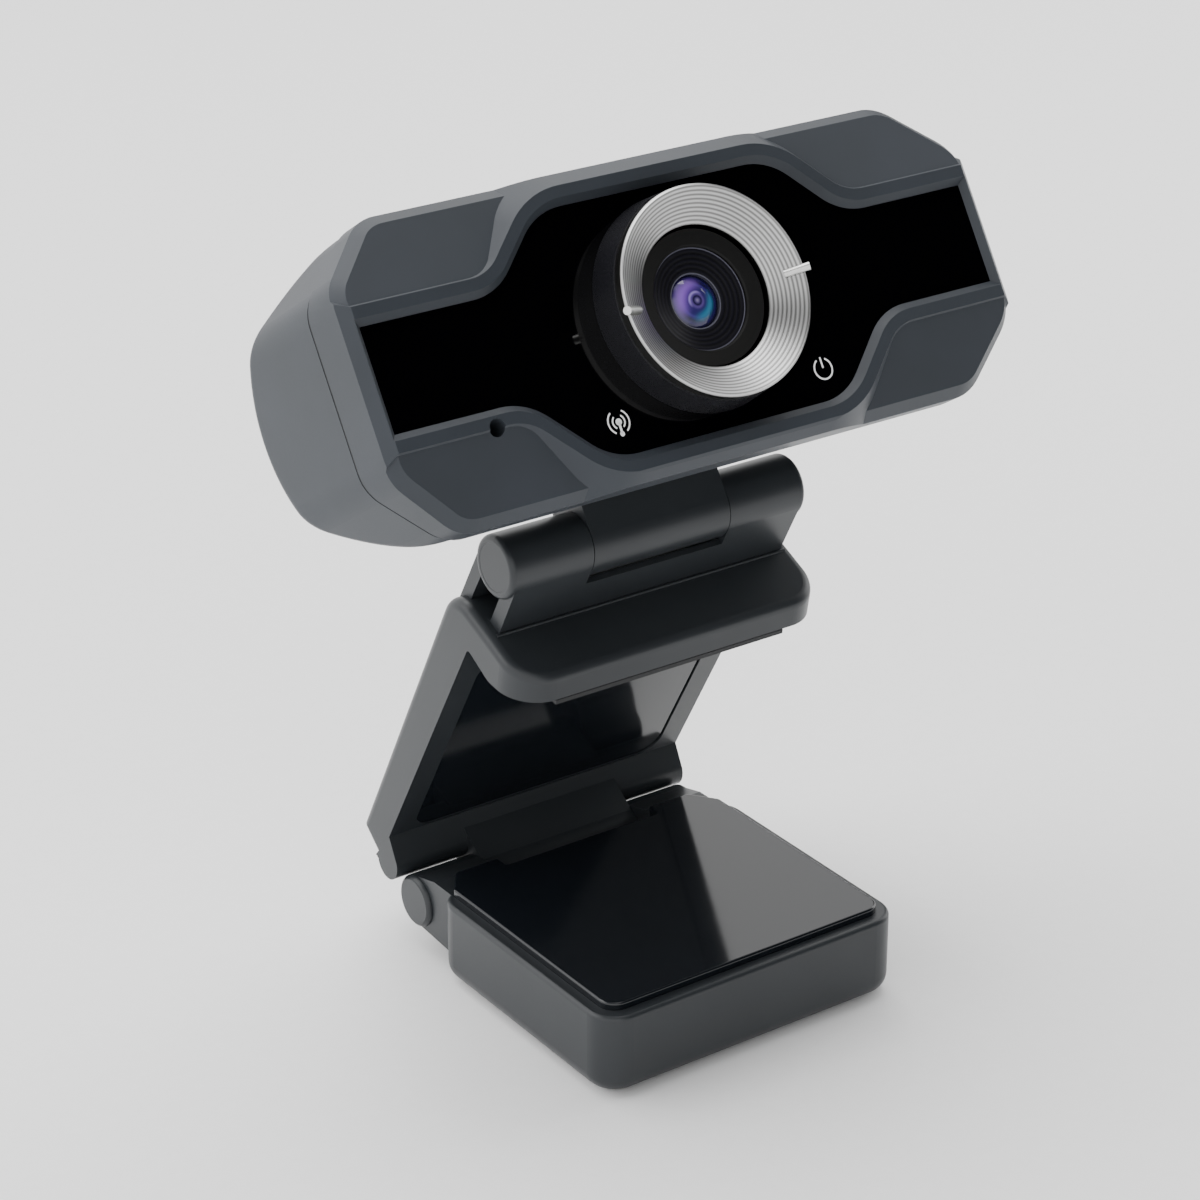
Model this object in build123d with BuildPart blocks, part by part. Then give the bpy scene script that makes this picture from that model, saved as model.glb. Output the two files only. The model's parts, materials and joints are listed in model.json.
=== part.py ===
from build123d import *
import math
import os

# Folding desk and monitor camera.  All lengths are in millimetres, angles in degrees.
# The origin is the centre of the foot's underside.  +Z is up and -Y is the way the camera looks.

# ---- Fits and stock sizes shared by the whole camera
running = 0.05            # radial clearance of a pin or thread that turns
seat = 0.02               # clearance between fixed pieces that sit in each other
gap = 0.2                 # clearance between pieces that move past each other
wall = 2.0                # wall of the moulded housings
pin_radius = 1.3          # steel hinge pins
cap_radius = 3.0          # plugs that cover the pin ends
cap_length = 1.0
washer_radius = 2.7
washer_thickness = 0.8
screw_radius = 0.8
screw_head_radius = 1.5
screw_head_height = 0.9

# ---- Foot
foot_width = 45.2
foot_depth = 37.4
foot_height = 11.4        # top of the rim
foot_corner = 4.0
foot_lift = 0.4           # the sole carries the shell this far off the desk
foot_wall = 2.8
foot_base_round = 2.3
sole_thickness = 1.0
sole_inset = 4.0
pad_thickness = 2.0
pad_proud = 1.0
pad_inset = 1.7
pad_tab_reach = 20.6      # the pad runs this far back over the hinge arms
pad_notch_reach = 18.5    # and this far back between them
deck_thickness = 1.8
plate_thickness = 2.4
boss_radius = 2.4
foot_boss_x = 15.5
foot_boss_y = 11.5
insert_radius = 4.2
insert_thread_radius = 2.55   # minor radius of a 1/4 inch tripod thread
insert_length = 6.6
insert_mouth = 0.3

# ---- Hinge between the foot and the leg
foot_axis_y = 25.4
foot_axis_z = 6.9
foot_knuckle_radius = 3.5
hinge_half = 21.7         # half the length of both hinge barrels
rim_round = 0.7           # rounding of the barrels' ends
foot_tongue_half = 11.9   # half the width of the leg's tongue between the foot's arms

# ---- Clip arm: leg, lip and hinge bracket
clip_width = 45.4
leg_lean = 29.4           # lean of the inner face, forward of upright
leg_thickness_top = 6.5
leg_thickness_base = 5.4
leg_base_y = 31.9         # inner lower corner of the leg
leg_base_z = 10.3
leg_length = 44.8
leg_back_wall = 2.0
leg_panel_thickness = 1.1
leg_panel_margin = 3.4
leg_panel_sunk = 0.2
heel_radius = 2.3
lip_pad_half = 17.0
lip_pad_thickness = 1.3
lip_corner = 5.0
lip_soft = 1.3
bracket_wall = 2.0

# ---- Hinge between the clip arm and the head
tilt_axis_y = 5.5
tilt_axis_z = 61.4
tilt_knuckle_radius = 4.0
neck_half = 10.0

# ---- Head
tilt_up = 33.0
head_y = -3.66            # centre of the front panel
head_z = 92.48
head_width = 88.8
head_height = 36.8
head_chamfer = 7.7
head_round = 5.5
face_front = 0.9          # the bezel's face stands this far in front of the panel
bezel_back = -6.8
seam = 0.7
seal_sunk = 0.25          # the seam's gasket sits this far below the surface
shell_step = 0.4          # the rear shell stands this far inside the bezel, above and below
shell_depth = 20.2        # behind the seam
deck_back = -4.0
panel_half = 42.4
panel_waist = 6.15        # half height of the panel's two ends
panel_top = 14.3
panel_bottom = 15.0
panel_slope_sum = 30.6
panel_thickness = 1.2
panel_round = 8.0
icon_x = 14.6
icon_drop = 11.2
mic_x = 30.3
mic_drop = 8.3

# ---- Lens group
turret_base_radius = 13.05
turret_top_radius = 12.7
turret_height = 4.2
turret_bore = 9.2
ring_radius = 12.56
ring_front = 5.74
ring_bore = 8.4
ring_dish = 3.16          # height of the ring's inner edge
ring_skirt_end = -2.5
barrel_radius = 6.0       # M12 lens thread
barrel_hood = 8.1
holder_radius = 8.0
board_front = -17.0
board_thickness = 1.2
board_width = 60.0
board_height = 24.0

os.makedirs("parts", exist_ok=True)

UPWARD = (Align.CENTER, Align.CENTER, Align.MIN)
screw_reach = 5.0
pin_half = hinge_half - cap_length - gap
arm_half = hinge_half - rim_round

# ---- Frames.  HEAD lies in the front panel with its normal along the lens axis.
lean = math.radians(leg_lean)
tilt = math.radians(tilt_up)
HEAD = Plane(origin=(0, head_y, head_z), x_dir=(1, 0, 0), z_dir=(0, -math.cos(tilt), math.sin(tilt)))
HEAD_SIDE = Plane(origin=(0, head_y, head_z), x_dir=HEAD.z_dir, z_dir=(-1, 0, 0))
LEG = Plane(
    origin=(0, leg_base_y, leg_base_z),
    x_dir=(1, 0, 0),
    z_dir=(0, -math.cos(lean), -math.sin(lean)),
)


def in_head(y, z):
    """Depth and height of a point of the row frame, in the head's side view."""
    dy = y - head_y
    dz = z - head_z
    depth = -dy * math.cos(tilt) + dz * math.sin(tilt)
    height = dy * math.sin(tilt) + dz * math.cos(tilt)
    return depth, height


def side(x=0.0):
    """The side view of the stand, its normal along +X."""
    return Plane.YZ.offset(x)


def across(y, z, x):
    """A plane square to a hinge axis at (y, z)."""
    return Plane(origin=(x, y, z), x_dir=(0, 1, 0), z_dir=(1, 0, 0))


def across_foot(x):
    """A plane square to the foot hinge."""
    return across(foot_axis_y, foot_axis_z, x)


def across_tilt(x):
    """A plane square to the tilt hinge."""
    return across(tilt_axis_y, tilt_axis_z, x)


def disc(plane, radius, x=0.0, y=0.0):
    """A round outline on a plane."""
    with BuildSketch(plane) as outline:
        with Locations((x, y)):
            Circle(radius)
    return outline.sketch


def knuckle(y, z, start, radius):
    """A hinge knuckle from start to the barrel's rounded end."""
    lengthwise = Plane(origin=(0, y, z), x_dir=(1, 0, 0), z_dir=(0, -1, 0))
    corners = [(start, 0), (start, radius), (hinge_half, radius), (hinge_half, 0)]
    with BuildPart() as barrel:
        with BuildSketch(lengthwise):
            with BuildLine():
                FilletPolyline(*corners, radius=[0, 0, rim_round, 0], close=True)
            make_face()
        revolve(axis=Axis((0, y, z), (1, 0, 0)))
    return barrel.part


def rounded_outline(plane, points, radius):
    """A closed outline through the points, its corners rounded."""
    with BuildSketch(plane) as outline:
        with BuildLine():
            FilletPolyline(*points, radius=radius, close=True)
        make_face()
    return outline.sketch


def head_outline(plane, inset=0.0):
    """The head's front view: a long octagon with soft corners."""
    half_x = head_width / 2 - inset
    half_y = head_height / 2 - inset
    leg = head_chamfer - inset * math.tan(math.radians(22.5))
    points = [
        (half_x, half_y - leg),
        (half_x - leg, half_y),
        (leg - half_x, half_y),
        (-half_x, half_y - leg),
        (-half_x, leg - half_y),
        (leg - half_x, -half_y),
        (half_x - leg, -half_y),
        (half_x, leg - half_y),
    ]
    return rounded_outline(plane, points, head_round - inset * 0.8)


def panel_outline(plane, margin=0.0):
    """The panel's front view: narrow at both ends and deep round the lens."""
    end = panel_half + margin
    waist = panel_waist + margin
    top = panel_top + margin
    bottom = panel_bottom + margin
    slope = panel_slope_sum + margin * math.sqrt(2)
    right = [
        (end, -waist),
        (end, waist),
        (slope - waist, waist),
        (slope - top, top),
    ]
    left = [(-x, y) for x, y in reversed(right[1:])]
    below = [
        (-end, -waist),
        (waist - slope - 1, -waist),
        (bottom - slope - 1, -bottom),
        (slope + 1 - bottom, -bottom),
        (slope + 1 - waist, -waist),
    ]
    bend_in = panel_round + margin
    bend_out = panel_round - margin
    radii = [0, 0, bend_out, bend_in, bend_in, bend_out, 0, 0, bend_out, bend_in, bend_in, bend_out]
    return rounded_outline(plane, right + left + below, radii)


def shell_profile(plane, inset=0.0):
    """The rear shell's side view: a half ellipse that starts behind the seam."""
    start = bezel_back - seam
    with BuildSketch(plane) as profile:
        with Locations((start, 0)):
            Ellipse(shell_depth - inset, head_height / 2 - inset - shell_step)
        with Locations((start + shell_depth, 0)):
            Rectangle(2 * shell_depth, 2 * head_height, mode=Mode.SUBTRACT)
    return profile.sketch


# ======================================================================== foot
pad_half_x = foot_width / 2 - pad_inset
pad_front = pad_inset - foot_depth / 2
pad_shoulder = foot_depth / 2 - pad_inset
tab_half = pad_half_x - 2.6


def pad_outline(plane, clear=0.0):
    """The grip pad's plan: two tabs at the back reach over the hinge arms."""
    half = pad_half_x + clear
    tab = tab_half + clear
    notch = foot_tongue_half - clear
    points = [
        (-half, pad_front - clear),
        (half, pad_front - clear),
        (half, pad_shoulder + clear),
        (tab, pad_tab_reach + clear),
        (notch, pad_tab_reach + clear),
        (notch, pad_notch_reach + clear),
        (-notch, pad_notch_reach + clear),
        (-notch, pad_tab_reach + clear),
        (-tab, pad_tab_reach + clear),
        (-half, pad_shoulder + clear),
    ]
    front = foot_corner - pad_inset + clear
    radii = [front, front, 1.0, 1.0, 0.4, 0.4, 0.4, 0.4, 1.0, 1.0]
    return rounded_outline(plane, points, radii)


arm_inner = foot_tongue_half + gap / 2
pad_floor = foot_height + pad_proud - pad_thickness
deck_bottom = pad_floor - deck_thickness
boss_spots = [(x, y) for x in (-foot_boss_x, foot_boss_x) for y in (-foot_boss_y, foot_boss_y)]
plate_top = foot_lift + plate_thickness

with BuildPart() as foot_shell:
    with BuildSketch(Plane.XY.offset(foot_lift)):
        RectangleRounded(foot_width, foot_depth, foot_corner)
    extrude(amount=foot_height - foot_lift)
    fillet(foot_shell.faces().sort_by(Axis.Z)[0].edges(), radius=foot_base_round)
    fillet(foot_shell.faces().sort_by(Axis.Z)[-1].edges(), radius=0.6)
    with BuildSketch(side(arm_inner)):
        with BuildLine():
            Polyline(
                (foot_axis_y, foot_axis_z + foot_knuckle_radius),
                (pad_tab_reach + 0.8, foot_height),
                (foot_depth / 2 - foot_wall, foot_height),
                (foot_depth / 2 - foot_wall, foot_lift + foot_base_round),
                (foot_axis_y, foot_axis_z - foot_knuckle_radius),
                close=True,
            )
        make_face()
    extrude(amount=arm_half - arm_inner)
    add(knuckle(foot_axis_y, foot_axis_z, arm_inner, foot_knuckle_radius))
    mirror(about=Plane.YZ)
    with BuildSketch(Plane.XY.offset(foot_lift)):
        RectangleRounded(foot_width - 2 * foot_wall, foot_depth - 2 * foot_wall, foot_corner - 1.5)
    extrude(amount=deck_bottom - foot_lift, mode=Mode.SUBTRACT)
    with BuildSketch(Plane.XY.offset(plate_top)):
        with Locations(*boss_spots):
            Circle(boss_radius)
        Circle(insert_radius + wall)
    extrude(amount=deck_bottom - plate_top)
    extrude(pad_outline(Plane.XY.offset(pad_floor), seat), amount=pad_thickness, mode=Mode.SUBTRACT)
    for x, y in boss_spots:
        with Locations((x, y, plate_top)):
            Cylinder(screw_radius + seat, screw_reach, align=UPWARD, mode=Mode.SUBTRACT)
    with Locations((0, 0, insert_mouth)):
        Cylinder(insert_radius + seat, insert_length + seat, align=UPWARD, mode=Mode.SUBTRACT)
    extrude(disc(across_foot(-hinge_half), pin_radius + seat), amount=2 * hinge_half, mode=Mode.SUBTRACT)
    for turn in (1, -1):
        extrude(
            disc(across_foot(turn * hinge_half), cap_radius + seat),
            amount=-turn * cap_length,
            mode=Mode.SUBTRACT,
        )
        extrude(
            disc(across_foot(turn * arm_inner), washer_radius + seat),
            amount=turn * washer_thickness,
            mode=Mode.SUBTRACT,
        )
foot_shell.part.label = "foot_shell"
export_step(foot_shell.part, "parts/foot_shell.step")

with BuildPart() as foot_pad:
    extrude(pad_outline(Plane.XY.offset(pad_floor)), amount=pad_thickness)
    fillet(foot_pad.faces().sort_by(Axis.Z)[-1].edges(), radius=0.3)
foot_pad.part.label = "foot_pad"
export_step(foot_pad.part, "parts/foot_pad.step")

sole_width = foot_width - 2 * sole_inset
sole_depth = foot_depth - 2 * sole_inset
plate_clear = foot_wall + seat

with BuildPart() as foot_bottom_plate:
    with BuildSketch(Plane.XY.offset(foot_lift)):
        RectangleRounded(foot_width - 2 * plate_clear, foot_depth - 2 * plate_clear, foot_corner - 1.5)
        Circle(insert_radius + seat, mode=Mode.SUBTRACT)
    extrude(amount=plate_thickness)
    with BuildSketch(Plane.XY.offset(foot_lift)):
        RectangleRounded(sole_width + 2 * seat, sole_depth + 2 * seat, foot_corner - 2)
    extrude(amount=sole_thickness - foot_lift, mode=Mode.SUBTRACT)
    with BuildSketch(Plane.XY.offset(sole_thickness)):
        with Locations(*boss_spots):
            Circle(screw_head_radius + seat)
    extrude(amount=screw_head_height, mode=Mode.SUBTRACT)
    with BuildSketch(Plane.XY.offset(sole_thickness)):
        with Locations(*boss_spots):
            Circle(screw_radius + seat)
    extrude(amount=plate_thickness, mode=Mode.SUBTRACT)
foot_bottom_plate.part.label = "foot_bottom_plate"
export_step(foot_bottom_plate.part, "parts/foot_bottom_plate.step")

with BuildPart() as foot_sole:
    with BuildSketch():
        RectangleRounded(sole_width, sole_depth, foot_corner - 2)
        Circle(insert_radius + 0.6, mode=Mode.SUBTRACT)
    extrude(amount=sole_thickness)
foot_sole.part.label = "foot_sole"
export_step(foot_sole.part, "parts/foot_sole.step")

with BuildPart() as tripod_insert:
    with BuildSketch(Plane.XY.offset(insert_mouth)):
        Circle(insert_radius)
        Circle(insert_thread_radius, mode=Mode.SUBTRACT)
    extrude(amount=insert_length)
    for height in (2.6, 4.6):
        with BuildSketch(Plane.XY.offset(insert_mouth + height)):
            Circle(insert_radius)
            Circle(insert_radius - 0.4, mode=Mode.SUBTRACT)
        extrude(amount=0.7, mode=Mode.SUBTRACT)
tripod_insert.part.label = "tripod_insert"
export_step(tripod_insert.part, "parts/tripod_insert.step")


def screw_group(label, plane, spots, length):
    """Pan-head screws whose heads stand on the plane's back and whose shanks run along its normal."""
    with BuildPart() as screws:
        for x, y in spots:
            with BuildSketch(plane):
                with Locations((x, y)):
                    Circle(screw_head_radius)
            extrude(amount=-screw_head_height)
            with BuildSketch(plane):
                with Locations((x, y)):
                    Circle(screw_radius)
            extrude(amount=length)
            with BuildSketch(plane.offset(-screw_head_height)):
                with Locations((x, y)):
                    Rectangle(1.5, 0.35)
                    Rectangle(0.35, 1.5)
            extrude(amount=0.4, mode=Mode.SUBTRACT)
    screws.part.label = label
    export_step(screws.part, "parts/" + label + ".step")


def hinge_hardware(name, y, z, inner):
    """Pin, end caps and friction washers of one hinge."""
    with BuildPart() as pin:
        extrude(disc(across(y, z, -pin_half), pin_radius), amount=2 * pin_half)
    pin.part.label = name + "_pin"
    export_step(pin.part, "parts/" + name + "_pin.step")
    with BuildPart() as caps:
        extrude(disc(across(y, z, hinge_half - cap_length), cap_radius), amount=cap_length - seat)
        mirror(about=Plane.YZ)
    caps.part.label = name + "_caps"
    export_step(caps.part, "parts/" + name + "_caps.step")
    with BuildPart() as washers:
        with BuildSketch(across(y, z, inner)):
            Circle(washer_radius)
            Circle(pin_radius + seat, mode=Mode.SUBTRACT)
        extrude(amount=washer_thickness)
        mirror(about=Plane.YZ)
    washers.part.label = name + "_friction_washers"
    export_step(washers.part, "parts/" + name + "_friction_washers.step")


screw_group("foot_screws", Plane.XY.offset(sole_thickness + screw_head_height), boss_spots, 4.6)
hinge_hardware("foot_hinge", foot_axis_y, foot_axis_z, arm_inner)

# ======================================================================== clip arm
up_y = -math.sin(lean)
up_z = math.cos(lean)
back_y = math.cos(lean)
back_z = math.sin(lean)


def on_leg(along, behind=0.0):
    """A point of the side view, measured up the leg's inner face and square to it."""
    return (
        leg_base_y + along * up_y + behind * back_y,
        leg_base_z + along * up_z + behind * back_z,
    )


def off_tilt_axis(angle, radius=tilt_knuckle_radius):
    """A point round the tilt hinge, its angle counted from +Y towards +Z."""
    turn = math.radians(angle)
    return tilt_axis_y + radius * math.cos(turn), tilt_axis_z + radius * math.sin(turn)


lip_crease = (5.4, 52.5)
lip_nose_top = (-1.9, 49.1)
lip_nose_base = (-1.3, 45.7)
lip_underside = (5.6, 46.8)
leg_crown = (13.7, 56.1)
leg_foot_back = on_leg(1.1, leg_thickness_base)
leg_top_back = on_leg(leg_length - 1.5, leg_thickness_top)
bracket_inner = neck_half + gap / 2
bracket_root = (5.7, 52.4)
bracket_floor = [(9.0, 50.5), (14.8, 51.5), (14.7, 53.1)]
bracket_hollow = [(7.5, 53.5), (11.7, 54.7)]
bead_radius = 0.22
front_tangent = off_tilt_axis(208)
wall_drop = 2.7
front_run = math.dist(front_tangent, bracket_root)
wall_top = tuple(a + (b - a) * wall_drop / front_run for a, b in zip(front_tangent, bracket_root))
rear_tangent = off_tilt_axis(28.8)
heel_reach = foot_knuckle_radius + gap + heel_radius
heel_turn = math.radians(42)
heel = (foot_axis_y + heel_reach * math.cos(heel_turn), foot_axis_z + heel_reach * math.sin(heel_turn))
heel_ramp = 5.3
panel_low = 5.6
panel_high = 40.5
leg_panel_half = clip_width / 2 - leg_panel_margin
recess_depth = leg_panel_thickness + leg_panel_sunk


def leg_panel_outline(plane, clear=0.0):
    """The insert's plan on the leg's inner face."""
    half = leg_panel_half + clear
    points = [
        (-half, panel_low - clear),
        (half, panel_low - clear),
        (half, panel_high + clear),
        (-half, panel_high + clear),
    ]
    return rounded_outline(plane, points, 3.0)


def on_lip_corner(edge):
    """The short upright edges at the lip's two front corners."""
    middle = edge.position_at(0.5)
    return abs(middle.X) > clip_width / 2 - 0.1 and middle.Y < lip_nose_base[0] and middle.Z > lip_nose_base[1]


def on_lip_rim(edge):
    """Edges between the lip's top and its front, corners and ends."""
    middle = edge.position_at(0.5)
    rise = (lip_crease[1] - lip_nose_top[1]) / (lip_crease[0] - lip_nose_top[0])
    top = lip_nose_top[1] + (middle.Y - lip_nose_top[0]) * rise
    on_crease = abs(middle.X) < 1 and middle.Y > lip_nose_top[0] + 1
    return abs(middle.Z - top) < 0.3 and middle.Y < lip_crease[0] + 4 and not on_crease


with BuildPart() as clip_arm:
    # leg and lip are one bent section
    with BuildSketch(side()):
        with BuildLine():
            FilletPolyline(
                on_leg(0),
                leg_foot_back,
                leg_top_back,
                leg_crown,
                lip_crease,
                lip_nose_top,
                lip_nose_base,
                lip_underside,
                on_leg(leg_length),
                radius=[0.4, 0.6, 0.6, 4.2, 0, 0, 0, 3.0, 0.6],
                close=True,
            )
        make_face()
        with Locations(heel):
            Circle(heel_radius)
        with BuildLine():
            Polyline(
                (heel[0] - heel_radius * math.cos(math.radians(20)), heel[1] - heel_radius * math.sin(math.radians(-20))),
                on_leg(heel_ramp),
                on_leg(0, 1),
                heel,
                close=True,
            )
        make_face()
    extrude(amount=clip_width / 2, both=True)
    # the lip's front corners are round, and its top rim is soft
    nose_corners = clip_arm.edges().filter_by(on_lip_corner)
    fillet(nose_corners, radius=lip_corner)
    lip_rim = clip_arm.edges().filter_by(on_lip_rim)
    fillet(lip_rim, radius=lip_soft)
    # hollow bracket with the outer knuckles of the tilt hinge
    with BuildSketch(side(bracket_inner)):
        with BuildLine():
            Polyline(
                front_tangent,
                bracket_root,
                *bracket_floor,
                rear_tangent,
                close=True,
            )
        make_face()
        with BuildLine():
            Polyline(
                off_tilt_axis(208, tilt_knuckle_radius - bracket_wall),
                *bracket_hollow,
                off_tilt_axis(28.8, tilt_knuckle_radius - bracket_wall),
                close=True,
            )
        make_face(mode=Mode.SUBTRACT)
    extrude(amount=arm_half - bracket_inner)
    add(knuckle(tilt_axis_y, tilt_axis_z, bracket_inner, tilt_knuckle_radius))
    mirror(about=Plane.YZ)
    # the wall in front of the neck ends just below the turning knuckle
    with BuildSketch(side()):
        with BuildLine():
            Polyline(
                wall_top,
                bracket_root,
                (bracket_root[0] + 2.2, bracket_root[1] + 0.6),
                (wall_top[0] + bracket_wall * 0.88, wall_top[1] + bracket_wall * 0.47),
                close=True,
            )
        make_face()
        with Locations((tilt_axis_y, tilt_axis_z)):
            Circle(tilt_knuckle_radius + gap, mode=Mode.SUBTRACT)
    extrude(amount=bracket_inner + 0.5, both=True)
    # a bead follows the crease between bracket and lip
    with BuildSketch(side()):
        with Locations(lip_crease):
            Circle(bead_radius)
    extrude(amount=clip_width / 2 - 1.2, both=True)
    # the wall behind the neck stays below the turning knuckle
    with BuildSketch(side()):
        with BuildLine():
            Polyline((14.7, 53.1), (11.9, 58.2), (10.1, 57.2), (12.3, 53.2), close=True)
        make_face()
    extrude(amount=bracket_inner + 0.5, both=True)
    # tongue between the foot's arms
    with BuildSketch(side()):
        with BuildLine():
            Polyline(
                (foot_axis_y - 1.0, foot_axis_z + 3.35),
                on_leg(4.4),
                on_leg(2.0, 2.0),
                on_leg(0.2, 1.2),
                (foot_axis_y + 2.4, foot_axis_z - 2.54),
                close=True,
            )
        make_face()
        with Locations((foot_axis_y, foot_axis_z)):
            Circle(foot_knuckle_radius)
    extrude(amount=foot_tongue_half, both=True)
    # recess and hollow behind the insert
    extrude(leg_panel_outline(LEG, seat), amount=-recess_depth, mode=Mode.SUBTRACT)
    with BuildSketch(LEG.offset(-recess_depth)):
        with Locations((0, (panel_low + panel_high) / 2)):
            RectangleRounded(2 * leg_panel_half - 3.2, panel_high - panel_low - 3.2, 2.0)
            Rectangle(1.6, 60, mode=Mode.SUBTRACT)
    extrude(amount=recess_depth + leg_back_wall - leg_thickness_base, mode=Mode.SUBTRACT)
    # bores, cap seats and washer seats
    extrude(disc(across_foot(-hinge_half), pin_radius + running), amount=2 * hinge_half, mode=Mode.SUBTRACT)
    extrude(disc(across_tilt(-hinge_half), pin_radius + seat), amount=2 * hinge_half, mode=Mode.SUBTRACT)
    for turn in (1, -1):
        extrude(
            disc(across_tilt(turn * hinge_half), cap_radius + seat),
            amount=-turn * cap_length,
            mode=Mode.SUBTRACT,
        )
        extrude(
            disc(across_tilt(turn * bracket_inner), washer_radius + seat),
            amount=turn * washer_thickness,
            mode=Mode.SUBTRACT,
        )
clip_arm.part.label = "clip_arm"
export_step(clip_arm.part, "parts/clip_arm.step")

with BuildPart() as leg_panel:
    extrude(leg_panel_outline(LEG.offset(-leg_panel_sunk)), amount=-leg_panel_thickness)
leg_panel.part.label = "leg_panel"
export_step(leg_panel.part, "parts/leg_panel.step")

lip_slope = math.atan2(lip_underside[1] - lip_nose_base[1], lip_underside[0] - lip_nose_base[0])
LIP = Plane(
    origin=(0, lip_nose_base[0], lip_nose_base[1]),
    x_dir=(0, math.cos(lip_slope), math.sin(lip_slope)),
    z_dir=(1, 0, 0),
)

with BuildPart() as lip_pad:
    with BuildSketch(LIP):
        with Locations((0.75, -seat)):
            Rectangle(4.6, lip_pad_thickness, align=(Align.MIN, Align.MAX))
        with Locations((0.75, -0.45)):
            Rectangle(0.4, 0.3, align=(Align.MIN, Align.MAX), mode=Mode.SUBTRACT)
    extrude(amount=lip_pad_half, both=True)
lip_pad.part.label = "lip_pad"
export_step(lip_pad.part, "parts/lip_pad.step")

hinge_hardware("tilt_hinge", tilt_axis_y, tilt_axis_z, bracket_inner)

# ======================================================================== head
shell_start = bezel_back - seam
LENS_AXIS = Axis(HEAD.origin, HEAD.z_dir)
axis_depth, axis_height = in_head(tilt_axis_y, tilt_axis_z)
head_screw_spots = [(x, y) for x in (-37.0, 37.0) for y in (-3.0, 3.0)]
board_screw_spots = [(x, y) for x in (-26.0, 26.0) for y in (-7.5, 7.5)]
holder_screw_spots = [(-6.9, 6.9), (6.9, -6.9)]
neck_screw_x = 5.2
neck_screw_depth = -22.2
neck_seat_height = -6.6
neck_root = -9.0          # the neck's front runs up to here inside the shell
neck_heel = [(-22.0, -5.0), (-24.6, -7.0)]
icon_spots = [(-icon_x, -icon_drop), (icon_x, -icon_drop)]
pipe_radius = 1.3
gland_radius = 2.5
gland_flange = 3.7
gland_floor = -26.3
gland_rim = 0.7
gland_groove = 1.4        # the shell's wall sits in this groove
cable_radius = 1.6
mic_radius = 3.0
mic_port = 1.0
mic_depth = 2.4
mic_gasket_thickness = 0.6
mic_lead = 1.2            # half the distance between the leads
board_back = board_front - board_thickness
NECK_SCREWS = Plane(
    origin=HEAD.from_local_coords((0, neck_seat_height, neck_screw_depth)),
    x_dir=(1, 0, 0),
    z_dir=-HEAD.y_dir,
)
neck_screw_spots = [(-neck_screw_x, 0), (neck_screw_x, 0)]


def prism(outline, amount):
    """A straight block on an outline."""
    with BuildPart() as body:
        extrude(outline, amount=amount)
    return body.part


def drill(plane, spots, radius):
    """Round outlines at several spots of a plane."""
    with BuildSketch(plane) as outline:
        with Locations(*spots):
            Circle(radius)
    return outline.sketch


with BuildPart() as neck_knuckle:
    with BuildSketch(HEAD_SIDE):
        with BuildLine():
            Polyline(
                (axis_depth + tilt_knuckle_radius, axis_height),
                (axis_depth + tilt_knuckle_radius, neck_root),
                *neck_heel,
                (axis_depth - tilt_knuckle_radius + 0.05, axis_height + 0.9),
                (axis_depth - tilt_knuckle_radius, axis_height),
                close=True,
            )
        make_face()
        with Locations((axis_depth, axis_height)):
            Circle(tilt_knuckle_radius)
        add(shell_profile(Plane.XY, -seat), mode=Mode.SUBTRACT)
    extrude(amount=neck_half, both=True)
    extrude(disc(across_tilt(-neck_half), pin_radius + running), amount=2 * neck_half, mode=Mode.SUBTRACT)
    extrude(drill(NECK_SCREWS, neck_screw_spots, screw_radius + seat), amount=11.4, mode=Mode.SUBTRACT)
neck_knuckle.part.label = "neck_knuckle"
export_step(neck_knuckle.part, "parts/neck_knuckle.step")

screw_group("neck_screws", NECK_SCREWS, neck_screw_spots, 11.0)

# the room inside the rear shell, with its bosses left standing
with BuildPart() as shell_room:
    extrude(shell_profile(HEAD_SIDE, wall), amount=head_width / 2, both=True)
    add(prism(head_outline(HEAD.offset(shell_start + 1), wall), -shell_depth - 2), mode=Mode.INTERSECT)
    with BuildSketch(HEAD_SIDE):
        with BuildLine():
            Polyline(
                (neck_screw_depth + 2.6, -20),
                (neck_screw_depth + 2.6, neck_seat_height),
                (neck_screw_depth - 3.2, neck_seat_height),
                (neck_screw_depth - 3.2, -20),
                close=True,
            )
        make_face()
    extrude(amount=neck_half - 1, both=True, mode=Mode.SUBTRACT)
    extrude(drill(HEAD.offset(deck_back), head_screw_spots, boss_radius), amount=-30, mode=Mode.SUBTRACT)
    extrude(drill(HEAD.offset(board_back), board_screw_spots, boss_radius - 0.3), amount=-20, mode=Mode.SUBTRACT)

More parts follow.
